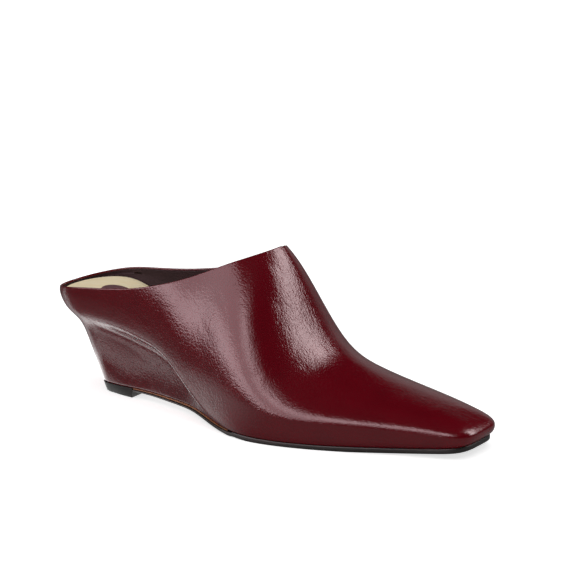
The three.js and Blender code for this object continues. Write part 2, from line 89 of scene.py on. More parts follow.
# Heights of the leather's lower edge, widest line, ridge and topline, as shares of the last's height
HEIGHTS = {
    "columns": ("at", "foot", "girth", "crown", "rim_outer", "rim_inner", "fullness"),
    "units": (LAST_HEIGHT, LAST_HEIGHT, LAST_HEIGHT, LAST_HEIGHT, LAST_HEIGHT, 1),
    "rows": (
        (0.0, 0.0585, 0.523, 0.66, 0.54, 0.54, 2.2),
        (0.08, 0.0585, 0.564, 0.787, 0.59, 0.585, 2.2),
        (0.16, 0.0585, 0.564, 0.872, 0.617, 0.606, 2.6),
        (0.26, 0.0553, 0.51, 0.936, 0.66, 0.638, 3.0),
        (0.32, 0.0532, 0.42, 0.973, 0.702, 0.67, 2.6),
        (0.38, 0.0511, 0.31, 1.0, 0.755, 0.718, 1.95),
        (0.46, 0.0404, 0.24, 1.0, 0.849, 0.824, 1.8),
        (0.54, 0.0309, 0.21, 0.846, 0.926, 0.926, 1.8),
        (0.62, 0.0266, 0.165, 0.487, 0.979, 0.979, 1.8),
        (0.7, 0.0266, 0.148, 0.33, 0.979, 0.979, 1.8),
        (0.8, 0.0309, 0.138, 0.2585, 0.979, 0.979, 2.0),
        (0.9, 0.0415, 0.122, 0.213, 0.979, 0.979, 2.3),
        (1.0, 0.0702, 0.112, 0.168, 0.979, 0.979, 2.7),
    ),
}

# How the flank goes in below the widest line: an even slope, then the valley
FLANK = {
    "columns": ("at", "slope", "valley", "step", "softness"),
    "units": (1, LAST_HEIGHT, LAST_HEIGHT, LAST_HEIGHT),
    "rows": (
        (0.0, 0.39, 0.42, 0.064, 0.049),
        (0.08, 0.33, 0.42, 0.077, 0.045),
        (0.16, 0.16, 0.399, 0.09, 0.04),
        (0.26, 0.08, 0.351, 0.101, 0.034),
        (0.32, 0.05, 0.303, 0.101, 0.03),
        (0.38, 0.03, 0.197, 0.09, 0.0255),
        (0.46, 0.02, 0.069, 0.053, 0.0213),
        (0.54, 0.02, 0.032, 0.032, 0.0213),
        (0.62, 0.02, 0.0266, 0.0266, 0.0213),
        (0.8, 0.02, 0.031, 0.0266, 0.0213),
        (0.9, 0.02, 0.04, 0.0266, 0.0213),
        (1.0, 0.1, 0.064, 0.0266, 0.0234),
    ),
}


def smooth_curve(places, values):
    """Natural cubic curve through the values, held level past its ends."""
    places, values = np.array(places, float), np.array(values, float)
    count = len(places)
    gaps = np.diff(places)
    balance = np.eye(count)
    pull = np.zeros(count)
    for i in range(1, count - 1):
        balance[i, i - 1 : i + 2] = gaps[i - 1], 2 * (gaps[i - 1] + gaps[i]), gaps[i]
        slopes = np.diff(values[i - 1 : i + 2]) / gaps[i - 1 : i + 1]
        pull[i] = 6 * (slopes[1] - slopes[0])
    bend = np.linalg.solve(balance, pull)

    def at(where):
        x = np.clip(where, places[0], places[-1])
        i = np.clip(np.searchsorted(places, x, side="right") - 1, 0, count - 2)
        gap, after, before = gaps[i], x - places[i], places[i + 1] - x
        ends = (bend[i] * before**3 + bend[i + 1] * after**3) / (6 * gap)
        low = (values[i] / gap - bend[i] * gap / 6) * before
        high = (values[i + 1] / gap - bend[i + 1] * gap / 6) * after
        return ends + low + high

    return at


last = {}


def add_to_last(table):
    """Turns each column of a table into a curve along the last, in millimetres."""
    rows = np.array(table["rows"])
    for k, name in enumerate(table["columns"][1:]):
        last[name] = smooth_curve(rows[:, 0] * SHOE_LENGTH, rows[:, k + 1] * table["units"][k])


for table in (PLAN, HEIGHTS, FLANK):
    add_to_last(table)


def round_end(share, roundness):
    """How wide a rounded end still is at a share of its length."""
    return np.maximum(0, 1 - np.minimum(share, 1) ** roundness) ** (1 / roundness)


def plan_factor(x):
    heel = np.maximum((HEEL_START + HEEL_CURVE - x) / HEEL_CURVE, 0)
    toe = np.maximum((x - (SHOE_LENGTH - TOE_CURVE)) / TOE_CURVE, 0)
    return round_end(heel, HEEL_ROUNDNESS) * round_end(toe, TOE_SQUARENESS)


def plan_line(x, side):
    """The widest line of the last at the stations x; side is -1 for outer and 1 for inner."""
    width = np.where(side < 0, last["outer"](x), last["inner"](x))
    return np.stack([x, side * width * plan_factor(x)], -1)


def edge_line(x, side):
    """The line on which the leather meets the sole."""
    width = np.where(side < 0, last["edge_outer"](x), last["edge_inner"](x))
    return np.stack([last["edge_at"](x), side * width * plan_factor(x)], -1)


def ridge_place(x):
    """The place on the ridge that a station is pulled up to, kept off the heel's and the toe's end."""

    def soft(value):
        return RIDGE_EASE * np.logaddexp(0, value / RIDGE_EASE)

    return RIDGE_TOE - soft(RIDGE_TOE - (RIDGE_HEEL + soft(x - RIDGE_HEEL)))


def throat_place():
    """Where the topline meets the ridge of the vamp."""
    low, high = THROAT_RANGE
    for _ in range(HALVINGS):
        middle = (low + high) / 2
        at = ridge_place(middle)
        if last["crown"](at) > last["rim_outer"](at):
            low = middle
        else:
            high = middle
    return low


SPREAD_STEPS = 4000


def spread(start, end, count, closeness):
    """Stations from start to end, spaced along the plan and closer together near the start."""
    turn = np.linspace(0, np.pi, SPREAD_STEPS + 1)
    xs = start + (end - start) * (1 - np.cos(turn)) / 2
    steps = np.linalg.norm(np.diff(plan_line(xs, np.full(xs.shape, -1.0)), axis=0), axis=1)
    length = np.concatenate([[0], np.cumsum(steps)])
    return np.interp(length[-1] * np.linspace(0, 1, count + 1) ** closeness, length, xs)


VAMP_COLUMNS = 130
VAMP_CLOSENESS = 1.15
COLLAR_COLUMNS = 140
COLLAR_CLOSENESS = 1.7
LAST_COLUMN = VAMP_COLUMNS + COLLAR_COLUMNS
AROUND = 2 * LAST_COLUMN
THROAT = throat_place()
stations = np.concatenate([
    spread(THROAT, SHOE_LENGTH, VAMP_COLUMNS, VAMP_CLOSENESS)[::-1],
    spread(THROAT, HEEL_START, COLLAR_COLUMNS, COLLAR_CLOSENESS)[1:],
])

# The columns run from the toe round the outer side to the heel, and back round the inner side
column = np.arange(AROUND)
step_in = np.where(column <= LAST_COLUMN, column, AROUND - column)
side = np.where(column <= LAST_COLUMN, -1.0, 1.0)
opposite = (AROUND - column) % AROUND
station = stations[step_in]
on_vamp = step_in <= VAMP_COLUMNS
plan = plan_line(station, side)
edge = edge_line(station, side)


def inward_of(line):
    """Unit vectors in plan that point into the shoe, at each column."""
    ahead, behind = np.roll(line, -1, axis=0), np.roll(line, 1, axis=0)
    along = ahead - behind
    along /= np.linalg.norm(along, axis=1)[:, None]
    return np.stack([along[:, 1], -along[:, 0]], -1)


def flank_reach(z):
    """How far in the flank goes at a height: its slope, and the step at the valley."""
    drop = np.maximum(last["girth"](station) - z, 0)

    def fall(height):
        return (1 + np.tanh((last["valley"](station) - height) / last["softness"](station))) / 2

    slope = last["slope"](station) * drop * drop / (drop + FLANK_EASE)
    return slope + last["step"](station) * (fall(z) - fall(last["girth"](station)))


def flank_points(z):
    """Points of the flank at a height for each column, between the widest line and the lower edge."""
    share = flank_reach(z) / flank_reach(last["foot"](edge[:, 0]))
    return np.concatenate([plan + (edge - plan) * share[:, None], z[:, None]], 1)


def vamp_points(turn):
    """Points above the widest line, from 0 on it to 1 on the ridge."""
    power = 2 / last["fullness"](station)
    quarter = np.minimum(turn, 1) * np.pi / 2
    across = np.where(turn >= 1, 0, np.cos(quarter)) ** power
    ridge = ridge_place(station)
    top = np.stack([ridge, last["ridge"](ridge)], -1)
    place = top + (plan - top) * across[:, None]
    girth = last["girth"](station)
    z = girth + (last["crown"](place[:, 0]) - girth) * np.sin(quarter) ** power
    return np.concatenate([place, z[:, None]], 1)


def rim_turn(rim_drop):
    """How far up the vamp's curve each column reaches before the topline stops it."""
    low, high = np.zeros(AROUND), np.ones(AROUND)
    for _ in range(HALVINGS):
        middle = (low + high) / 2
        point = vamp_points(middle)
        outer, inner = last["rim_outer"](point[:, 0]), last["rim_inner"](point[:, 0])
        under = point[:, 2] < np.where(side < 0, outer, inner) - rim_drop
        low, high = np.where(under, middle, low), np.where(under, high, middle)
    return np.where(on_vamp, 1.0, low)


FLANK_ROWS = 44
VAMP_ROWS = 64


def last_surface(rim_drop=0.0):
    """The outside of the leather as a grid: a column of points from the sole to the topline."""
    foot, girth = last["foot"](edge[:, 0]), last["girth"](station)
    rows = [flank_points(foot + (girth - foot) * t) for t in np.linspace(0, 1, FLANK_ROWS + 1)]
    turn = rim_turn(rim_drop)
    rows += [vamp_points(turn * t) for t in np.linspace(0, 1, VAMP_ROWS + 1)[1:]]
    return np.stack(rows, 1)


def surface_normals(grid):
    """Unit vectors out of the shoe at each point of the grid."""
    beyond = 2 * grid[:, -1] - grid[:, -2]
    beyond[on_vamp] = grid[opposite][on_vamp, -2]
    below = 2 * grid[:, 0] - grid[:, 1]
    tall = np.concatenate([below[:, None], grid, beyond[:, None]], 1)
    up = tall[:, 2:] - tall[:, :-2]
    along = np.roll(grid, -1, axis=0) - np.roll(grid, 1, axis=0)
    normal = np.cross(up, along)
    normal[0, -1] = normal[1, -1] * (1, 0, 1)
    size = np.linalg.norm(normal, axis=2)
    return normal / size[:, :, None]


# Soft folds, listed in millimetres: fine ones over the instep and the ball, long ones at the waist
FOLD_END_SHARE = 0.06
FOLD_TABLE = {
    "columns": ("side", "start_x", "start_z", "end_x", "end_z", "half_width", "depth"),
    "rows": (
        (-1, 128, 85, 138, 74, 0.9, 0.1),
        (-1, 130.5, 86, 142, 66, 0.9, 0.09),
        (-1, 139, 67, 146, 56, 1.1, 0.13),
        (-1, 136, 64, 143, 54, 1.1, 0.1),
        (-1, 133, 76, 139, 66, 1.0, 0.09),
        (-1, 112, 70, 126, 56, 1.6, 0.1),
        (-1, 104, 56, 118, 44, 1.8, 0.08),
        (-1, 78, 50, 90, 38, 2.4, 0.1),
        (-1, 139, 36, 147, 30, 1.1, 0.1),
        (-1, 144, 30, 150, 36, 1.0, 0.1),
        (-1, 151, 26, 159, 28, 1.1, 0.09),
        (-1, 38, 33, 58, 26, 1.4, 0.1),
        (-1, 50, 30, 66, 20, 1.3, 0.08),
        (1, 106, 76, 124, 60, 1.8, 0.12),
        (1, 118, 50, 136, 34, 2.2, 0.14),
    ),
}


def fold_depth(points):
    """How deep the listed folds press the leather in at each point."""
    depth = np.zeros(points.shape[:2])
    for fold_side, start_x, start_z, end_x, end_z, half_width, deep in FOLD_TABLE["rows"]:
        start = np.array([start_x, start_z])
        run = np.array([end_x, end_z]) - start
        flat = points[:, :, (0, 2)] - start
        share = np.clip(flat @ run / (run @ run), 0, 1)
        away = np.linalg.norm(flat - share[:, :, None] * run, axis=2)
        fade = np.sin(np.pi * np.clip(share, FOLD_END_SHARE, 1 - FOLD_END_SHARE))
        trough = deep * fade * np.exp(-((away / half_width) ** 2))
        depth += np.where(side[:, None] == fold_side, trough, 0)
    return depth


def lasted(rim_drop):
    """The pulled skin's outside with its folds, and its normals."""
    plain = last_surface(rim_drop)
    folded = plain - surface_normals(plain) * fold_depth(plain)[:, :, None]
    return folded, surface_normals(folded)


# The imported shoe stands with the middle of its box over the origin
upper_low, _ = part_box("upper")
widest = np.max(last["outer"](stations) * plan_factor(stations))
SHIFT = np.array([upper_low.x / MM - HEEL_START, upper_low.y / MM + widest, 0.0])


def grid_piece(name, points, leave_out=None):
    """A mesh grid whose points take the given places, in the shoe's millimetres.

    The places have a row for each line of points. leave_out marks the faces that are deleted.
    """
    tall, wide = points.shape[:2]
    bpy.ops.object.select_all(action="DESELECT")
    bpy.ops.mesh.primitive_grid_add(x_subdivisions=wide - 1, y_subdivisions=tall - 1)
    piece = bpy.context.active_object
    piece.name = name
    piece.data.name = name
    placed = (points + SHIFT) * MM
    piece.data.vertices.foreach_set("co", placed.reshape(-1))
    bpy.ops.object.mode_set(mode="EDIT")
    bpy.ops.mesh.select_mode(type="FACE")
    bpy.ops.mesh.select_all(action="DESELECT")
    bpy.ops.object.mode_set(mode="OBJECT")
    if leave_out is not None:
        piece.data.polygons.foreach_set("select", leave_out.reshape(-1))
        bpy.ops.object.mode_set(mode="EDIT")
        bpy.ops.mesh.delete(type="FACE")
        bpy.ops.object.mode_set(mode="OBJECT")
    return piece


MERGE_DISTANCE = 0.002 * MM


def close_up(piece, sharp_from=None):
    """Merges the seams and the poles, turns the faces outwards and shades the piece smooth.

    Edges that turn by more than sharp_from degrees are kept crisp.
    """
    bpy.ops.object.select_all(action="DESELECT")
    bpy.context.view_layer.objects.active = piece
    piece.select_set(True)
    bpy.ops.object.mode_set(mode="EDIT")
    bpy.ops.mesh.select_all(action="SELECT")
    bpy.ops.mesh.remove_doubles(threshold=MERGE_DISTANCE)
    bpy.ops.mesh.dissolve_degenerate(threshold=MERGE_DISTANCE / 10)
    bpy.ops.mesh.normals_make_consistent(inside=False)
    if sharp_from:
        bpy.ops.mesh.select_all(action="DESELECT")
        bpy.ops.mesh.edges_select_sharp(sharpness=math.radians(sharp_from))
        bpy.ops.mesh.mark_sharp()
    bpy.ops.object.mode_set(mode="OBJECT")
    bpy.ops.object.shade_smooth()


ROLL_ROWS = 6
NEAR_NOTHING = 1e-9


def leather_wall(name, outer_depth, inner_depth, rim_drop, outer_rows, inner_rows):
    """A closed wall of leather between two depths under the last's surface, round at its topline."""
    grid, normal = lasted(rim_drop)
    top = FLANK_ROWS + VAMP_ROWS

    def at_depth(depth, count):
        picks = np.round(np.linspace(0, top, count + 1)).astype(int)
        return grid[:, picks] - normal[:, picks] * depth

    outside = at_depth(outer_depth, outer_rows)
    inside = at_depth(inner_depth, inner_rows)[:, ::-1]
    rim = grid[:, -1]
    ahead, behind = np.roll(rim, -1, axis=0), np.roll(rim, 1, axis=0)
    behind[VAMP_COLUMNS] = rim[AROUND - VAMP_COLUMNS - 1]
    ahead[AROUND - VAMP_COLUMNS] = rim[VAMP_COLUMNS + 1]
    off_rim = np.cross(ahead - behind, normal[:, -1])
    off_rim /= np.maximum(np.linalg.norm(off_rim, axis=1), NEAR_NOTHING)[:, None]
    half = (inner_depth - outer_depth) / 2
    middle = (outside[:, -1] + inside[:, 0]) / 2
    roll = []
    for turn in np.linspace(0, np.pi, ROLL_ROWS + 2)[1:-1]:
        roll.append(middle + half * (normal[:, -1] * np.cos(turn) + off_rim * np.sin(turn)))
    loop = np.concatenate([outside, np.stack(roll, 1), inside, outside[:, :1]], 1)
    loop = np.concatenate([loop, loop[:1]], 0).transpose(1, 0, 2)
    faces = np.zeros((loop.shape[0] - 1, AROUND), bool)
    faces[outer_rows : outer_rows + ROLL_ROWS + 1] = on_vamp & np.roll(on_vamp, -1)
    wall = grid_piece(name, loop, leave_out=faces)
    close_up(wall)
    return wall


def linear(hex_colour):
    """A colour written as sRGB hex, as the linear values that the shader takes."""
    values = [int(hex_colour[i : i + 2], 16) / 255 for i in (1, 3, 5)]
    turned = [v / 12.92 if v <= 0.04045 else ((v + 0.055) / 1.055) ** 2.4 for v in values]
    return (*turned, 1.0)


def add_node(tree, kind, settings=None, inputs=None):
    """Adds a node with its settings. An input is a value, or the output that is linked to it."""
    made = tree.nodes.new(kind)
    for name, value in (settings or {}).items():
        setattr(made, name, value)
    for name, value in (inputs or {}).items():
        if isinstance(value, bpy.types.NodeSocket):
            tree.links.new(value, made.inputs[name])
        else:
            made.inputs[name].default_value = value
    return made


def new_material(name):
    """An empty material with its tree and the point that its patterns follow."""
    made = bpy.data.materials.new(name)
    made.use_nodes = True
    made.node_tree.nodes.clear()
    place = add_node(made.node_tree, "ShaderNodeTexCoord").outputs["Object"]
    return made, made.node_tree, place


def finish_material(tree, surface, height, inputs):
    """Puts the shader at the end of a tree, with a bump whose height is in millimetres."""
    bump = add_node(tree, "ShaderNodeBump", None, {"Distance": MM, "Strength": 1.0, "Height": height})
    shader = add_node(
        tree, "ShaderNodeBsdfPrincipled", None, {**surface, **inputs, "Normal": bump.outputs["Normal"]}
    )
    add_node(tree, "ShaderNodeOutputMaterial", None, {"Surface": shader.outputs["BSDF"]})
    tree.links.new(bump.outputs["Normal"], shader.inputs["Coat Normal"])
    return shader


def millimetre_scale(size):
    """Scale of a pattern whose cells are size millimetres wide, on coordinates in metres."""
    return 1 / (size * MM)


def times(tree, value, factor):
    """A pattern's value times a factor."""
    product = add_node(tree, "ShaderNodeMath", {"operation": "MULTIPLY"}, {0: value, 1: factor})
    return product.outputs["Value"]


def between_colours(tree, share, low, high):
    """A colour between two colours in sRGB hex, by a pattern's share."""
    mix = add_node(tree, "ShaderNodeMix", {"data_type": "RGBA"}, {
        0: share, 6: linear(low), 7: linear(high),
    })
    return mix.outputs[2]


PEBBLE_WANDER = 1.1 * MM
PEBBLE_HEIGHT = 0.026
FINE_HEIGHT = 0.06
CRINKLE_HEIGHT = 0.03
SWELL_HEIGHT = 0.25


def glazed_burgundy_calf():
    """Aniline calf, dyed deep red, glazed and waxed: a clear shine over fine, crinkled grain."""
    made, tree, place = new_material("glazed_burgundy_calf")
    drift = add_node(tree, "ShaderNodeTexNoise", None, {
        "Vector": place, "Scale": millimetre_scale(2.4), "Detail": 1.0,
    })
    wander = add_node(tree, "ShaderNodeVectorMath", {"operation": "MULTIPLY_ADD"}, {
        0: drift.outputs["Color"], 1: (PEBBLE_WANDER,) * 3, 2: place,
    })
    pebble = add_node(tree, "ShaderNodeTexVoronoi", {"feature": "DISTANCE_TO_EDGE"}, {
        "Vector": wander.outputs["Vector"], "Scale": millimetre_scale(1.5),
    })
    pebble_round = add_node(tree, "ShaderNodeMapRange", {"interpolation_type": "SMOOTHSTEP"}, {
        "Value": pebble.outputs["Distance"], "From Max": 0.3, "To Max": PEBBLE_HEIGHT,
    })
    fine = add_node(tree, "ShaderNodeTexNoise", None, {
        "Vector": place, "Scale": millimetre_scale(1.1), "Detail": 2.0, "Roughness": 0.6,
    })
    fine_high = add_node(tree, "ShaderNodeMath", {"operation": "MULTIPLY_ADD"}, {
        0: fine.outputs["Fac"], 1: FINE_HEIGHT, 2: pebble_round.outputs["Result"],
    })
    turned = add_node(tree, "ShaderNodeMapping", {"vector_type": "TEXTURE"}, {
        "Vector": place, "Rotation": (0, math.radians(50), 0), "Scale": (2.2, 1.0, 1.0),
    })
    crinkle = add_node(tree, "ShaderNodeTexNoise", {"noise_type": "RIDGED_MULTIFRACTAL"}, {
        "Vector": turned.outputs["Vector"], "Scale": millimetre_scale(2.4), "Detail": 2.0,
        "Roughness": 0.5, "Lacunarity": 2.2, "Offset": 0.9, "Gain": 1.0, "Distortion": 0.3,
    })
    crinkle_high = add_node(tree, "ShaderNodeMath", {"operation": "MULTIPLY_ADD"}, {
        0: crinkle.outputs["Fac"], 1: -CRINKLE_HEIGHT, 2: fine_high.outputs["Value"],
    })
    swell = add_node(tree, "ShaderNodeTexNoise", None, {
        "Vector": place, "Scale": millimetre_scale(14), "Detail": 2.0,
    })
    height = add_node(tree, "ShaderNodeMath", {"operation": "MULTIPLY_ADD"}, {
        0: swell.outputs["Fac"], 1: SWELL_HEIGHT, 2: crinkle_high.outputs["Value"],
    })
    tone = between_colours(tree, swell.outputs["Fac"], "#5e000e", "#700213")
    finish_material(tree, {
        "IOR": 1.45, "Specular IOR Level": 0.0, "Roughness": 0.4,
        "Coat Weight": 1.0, "Coat Roughness": 0.16, "Coat IOR": 1.5,
    }, height.outputs["Value"], {"Base Color": tone})
    return made


SKIN_THICKNESS = 1.0
ALL_ROWS = FLANK_ROWS + VAMP_ROWS
SKIN_BACK_ROWS = 30
skin = leather_wall("leather_upper", 0.0, SKIN_THICKNESS, 0.0, ALL_ROWS, SKIN_BACK_ROWS)
skin.data.materials.append(glazed_burgundy_calf())
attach(skin, "root")
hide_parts("upper")


# Lining
# A dark brown goat lining, 0.6 mm thick, cemented to the skin and trimmed just under the folded topline.

WALL_THICKNESS = 1.6
CEMENT_THICKNESS = 0.02
LINING_DROP = 0.7
LINING_BACK_ROWS = 54


def brown_goat_lining():
    """Soft goat, dyed dark brown: dull, with a fine pebble."""
    made, tree, place = new_material("brown_goat_lining")
    pebble = add_node(tree, "ShaderNodeTexVoronoi", None, {"Vector": place, "Scale": millimetre_scale(0.9)})
    swell = add_node(tree, "ShaderNodeTexNoise", None, {"Vector": place, "Scale": millimetre_scale(9)})
    height = times(tree, pebble.outputs["Distance"], -0.05)
    tone = between_colours(tree, swell.outputs["Fac"], "#1e090c", "#2b1115")
    finish_material(tree, {"Specular IOR Level": 0.2, "Roughness": 0.5}, height, {"Base Color": tone})
    return made


lining = leather_wall(
    "lining", SKIN_THICKNESS + CEMENT_THICKNESS, WALL_THICKNESS, LINING_DROP, LINING_BACK_ROWS, ALL_ROWS
)
lining.data.materials.append(brown_goat_lining())
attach(lining, "root")
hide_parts("upper")


# Footbed
# A fibre board insole, 3.2 mm thick with a rounded edge, faced with pale beige sock leather. It lies
# on the wedge inside the lining and is cemented down.

BED_DEPTH = 1.9
BED_THICKNESS = 3.2

# Heights of the bed, and thicknesses of the waist edge and of the sole
LAYERS = {
    "columns": ("at", "bed", "strip", "sole"),
    "units": (LAST_HEIGHT, 1, 2.5),
    "rows": (
        (0.0, 0.496, 0.5, 0.32),
        (0.04, 0.506, 0.5, 0.32),
        (0.08, 0.506, 0.5, 0.32),
        (0.112, 0.49, 0.5, 0.32),
        (0.136, 0.469, 0.5, 0.32),
        (0.18, 0.428, 0.5, 0.32),
        (0.26, 0.346, 0.6, 0.32),
        (0.32, 0.279, 0.8, 0.36),
        (0.38, 0.206, 1.0, 0.4),
        (0.46, 0.116, 0.8, 0.56),
        (0.5, 0.079, 0.6, 0.64),
        (0.54, 0.053, 0.3, 0.84),
        (0.62, 0.031, 0.3, 1.0),
        (0.7, 0.028, 0.3, 1.0),
        (0.8, 0.032, 0.3, 0.96),
        (0.9, 0.0426, 0.3, 0.92),
        (1.0, 0.0713, 0.3, 1.0),
    ),
}
add_to_last(LAYERS)


def with_height(line, height):
    """A line in plan with a height that follows x."""
    return np.column_stack([line, height(line[:, 0])])


def gathered(ring):
    """A ring of points drawn together on its own middle line, which closes a plate's face."""
    middle = (ring + ring[opposite]) / 2
    return np.column_stack([middle[:, :2], ring[:, 2]])


CRISP_ANGLE = 50


def plate(name, rings, material):
    """A closed solid through the rings, from its underside to its top, with both faces closed."""
    rows = [gathered(rings[0]), *rings, gathered(rings[-1])]
    loop = np.stack([np.concatenate([row, row[:1]]) for row in rows])
    made = grid_piece(name, loop)
    close_up(made, sharp_from=CRISP_ANGLE)
    made.data.materials.append(material)
    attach(made, "root")
    return made


# Rounded edge of the bed: how far in, and how high above its underside
BED_EDGE = (
    (1.6, 0.0), (0.3, 0.0), (0.0, 0.4), (0.0, 2.5), (0.12, 2.85), (0.4, 3.08), (0.9, 3.18), (2.0, 3.2),
)


def bed_ring(inset, above):
    """A ring of the bed, inside the lining, at a height above its underside."""
    outline = flank_points(last["bed"](station) + above)[:, :2]
    line = outline + inward_of(outline) * (BED_DEPTH + inset)
    return with_height(line, lambda x: last["bed"](x) + above)


def beige_sock_leather():
    """Undyed sock leather, pale and matt, with faint long fibres and a soft uneven tone."""
    made, tree, place = new_material("beige_sock_leather")
    along = add_node(tree, "ShaderNodeMapping", {"vector_type": "TEXTURE"}, {
        "Vector": place, "Rotation": (0, 0, math.radians(24)), "Scale": (9.0, 1.0, 1.0),
    })
    fibre = add_node(tree, "ShaderNodeTexNoise", None, {
        "Vector": along.outputs["Vector"], "Scale": millimetre_scale(1.6), "Detail": 3.0,
    })
    height = times(tree, fibre.outputs["Fac"], 0.08)
    tone = between_colours(tree, fibre.outputs["Fac"], "#f6dca6", "#fff6da")
    finish_material(tree, {"Roughness": 0.62, "IOR": 1.4}, height, {"Base Color": tone})
    return made


footbed = plate("footbed", [bed_ring(*row) for row in BED_EDGE], beige_sock_leather())
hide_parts("insole")


# Sock patch
# A plain oval of mauve brown leather, 0.8 mm thick, cemented on the footbed under the heel.

PATCH_CENTRE = 0.144 * SHOE_LENGTH
PATCH_HALF_LENGTH = 13
PATCH_HALF_WIDTH = 10.5

# Rounded edge of the patch: the share of its size, and how high above the bed
PATCH_EDGE = ((0.94, 0.05), (1.0, 0.1), (1.0, 0.75), (0.985, 0.95), (0.95, 1.1), (0.88, 1.15))


def oval_ring(share, above):
    """A ring with as many points as the shoe's outline, at a share of the patch's size."""
    turn = 2 * np.pi * column / AROUND
    line = np.stack([
        PATCH_CENTRE + share * PATCH_HALF_LENGTH * np.cos(turn), -share * PATCH_HALF_WIDTH * np.sin(turn),
    ], -1)
    return with_height(line, lambda x: last["bed"](x) + BED_THICKNESS + above)


def mauve_patch_leather():
    """Smooth thin leather in a dull mauve brown, a little waxy."""
    made, tree, place = new_material("mauve_patch_leather")
    grain = add_node(tree, "ShaderNodeTexNoise", None, {
        "Vector": place, "Scale": millimetre_scale(1.2), "Detail": 2.0,
    })
    height = times(tree, grain.outputs["Fac"], 0.05)
    tone = between_colours(tree, grain.outputs["Fac"], "#5d373c", "#744950")
    finish_material(tree, {"Roughness": 0.5}, height, {"Base Color": tone})
    return made


patch = plate("sock_patch", [oval_ring(*row) for row in PATCH_EDGE], mauve_patch_leather())
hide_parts("heel_patch")


# Heel block
# The moulded wedge under the footbed, fixed to the board with nails and covered by the upper's skin,
# so that only its shape shows. The frame's own solid stays, in the plastic's colour.


def moulded_heel_plastic():
    """Pale grey moulded plastic, faintly mottled and half dull."""
    made, tree, place = new_material("moulded_heel_plastic")
    mottle = add_node(tree, "ShaderNodeTexNoise", None, {"Vector": place, "Scale": millimetre_scale(3)})
    height = times(tree, mottle.outputs["Fac"], 0.05)
    tone = between_colours(tree, mottle.outputs["Fac"], "#b9b5ac", "#c9c6be")
    finish_material(tree, {"Roughness": 0.45}, height, {"Base Color": tone})
    return made


heel_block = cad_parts["wedge_heel"]
heel_block.data.materials.clear()
heel_block.data.materials.append(moulded_heel_plastic())


# Waist edge
# A strip of stained leather under the leather's edge from the top lift to the waist, skived thin at
# both ends and cemented on the sole.

FIT_GAP = 0.3
LIFT_FRONT = 0.198 * SHOE_LENGTH
STRIP_FRONT = 0.52 * SHOE_LENGTH
BUTT_GAP = 0.4
BUTT = float(last["edge_at"](LIFT_FRONT))

# Section of a thin plate: how far in from its edge in millimetres, and the share of its height
THIN_EDGE = (
    (1.4, 0.0), (0.25, 0.0), (0.06, 0.12), (0.0, 0.3), (0.0, 0.7), (0.06, 0.88), (0.25, 1.0), (1.4, 1.0),
)


def cut_off(line, place, behind):
    """Presses a ring of points flat where it passes a station, so that it ends in a straight face."""
    line = line.copy()
    from_toe = np.arange(LAST_COLUMN + 1)
    for half in (from_toe, opposite[from_toe]):
        x, y = line[half].T
        at_place = np.interp(place, x[::-1], y[::-1])
        past = x < place if behind else x > place
        shares = np.linspace(0, 1, past.sum())
        line[half[past], 0] = place
        line[half[past], 1] = at_place * (shares[::-1] if behind else shares)
    return line


def edge_ring(move, height, start=None, end=None):
    """The shoe's lower edge moved in, between two stations, at a height that follows x."""
    inset = np.broadcast_to(move, AROUND)
    line = edge + inward_of(edge) * inset[:, None]
    if start is not None:
        line = cut_off(line, start, True)
    if end is not None:
        line = cut_off(line, end, False)
    return with_height(line, height)


def between(low, high, share):
    """A height at a share of the way between two heights that follow x."""
    return lambda x: low(x) + (high(x) - low(x)) * share


def strip_high(x):
    return last["foot"](x) - FIT_GAP


def strip_low(x):
    return strip_high(x) - last["strip"](x)


def stained_edge_leather():
    """Sole leather cut on edge, stained amber brown and waxed, with fine level fibres."""
    made, tree, place = new_material("stained_edge_leather")
    flat = add_node(tree, "ShaderNodeMapping", {"vector_type": "TEXTURE"}, {
        "Vector": place, "Scale": (6.0, 6.0, 1.0),
    })
    fibre = add_node(tree, "ShaderNodeTexNoise", None, {
        "Vector": flat.outputs["Vector"], "Scale": millimetre_scale(0.5), "Detail": 2.0,
    })
    height = times(tree, fibre.outputs["Fac"], 0.04)
    tone = between_colours(tree, fibre.outputs["Fac"], "#8a4a1c", "#b06c30")
    finish_material(tree, {"Roughness": 0.4}, height, {"Base Color": tone})
    return made


strip_rings = [
    edge_ring(inset, between(strip_low, strip_high, share), BUTT + BUTT_GAP + inset, STRIP_FRONT - inset)
    for inset, share in THIN_EDGE
]
waist_edge = plate("waist_edge", strip_rings, stained_edge_leather())
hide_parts("waist_strip")


# Outsole
# Black sole leather, 2.4 mm at the forepart and skived under the waist edge, with a burnished edge
# that stands 0.4 mm proud of the upper. It stops against the top lift.

SOLE_LIP = 0.4
SOLE_STEP_SETBACK = 3
SOLE_STEP_EASE = 0.7


def sole_high(x):
    """The sole's top: under the waist edge at the back, and up against the leather at the forepart."""
    open_share = 1 / (1 + np.exp(-(x - STRIP_FRONT - SOLE_STEP_SETBACK) / SOLE_STEP_EASE))
    covered = strip_low(x) - FIT_GAP
    return covered + (strip_high(x) - covered) * open_share


def sole_low(x):
    return np.maximum(sole_high(x) - last["sole"](x), 0)


def burnished_black_sole():
    """Black stained sole leather, burnished to a dull shine, with fine scratches along its edge."""
    made, tree, place = new_material("burnished_black_sole")
    flat = add_node(tree, "ShaderNodeMapping", {"vector_type": "TEXTURE"}, {
        "Vector": place, "Scale": (8.0, 8.0, 1.0),
    })
    scratch = add_node(tree, "ShaderNodeTexNoise", None, {
        "Vector": flat.outputs["Vector"], "Scale": millimetre_scale(0.6), "Detail": 3.0,
    })
    height = times(tree, scratch.outputs["Fac"], 0.05)
    tone = between_colours(tree, scratch.outputs["Fac"], "#1c1a18", "#34302c")
    finish_material(tree, {"Roughness": 0.42}, height, {"Base Color": tone})
    return made


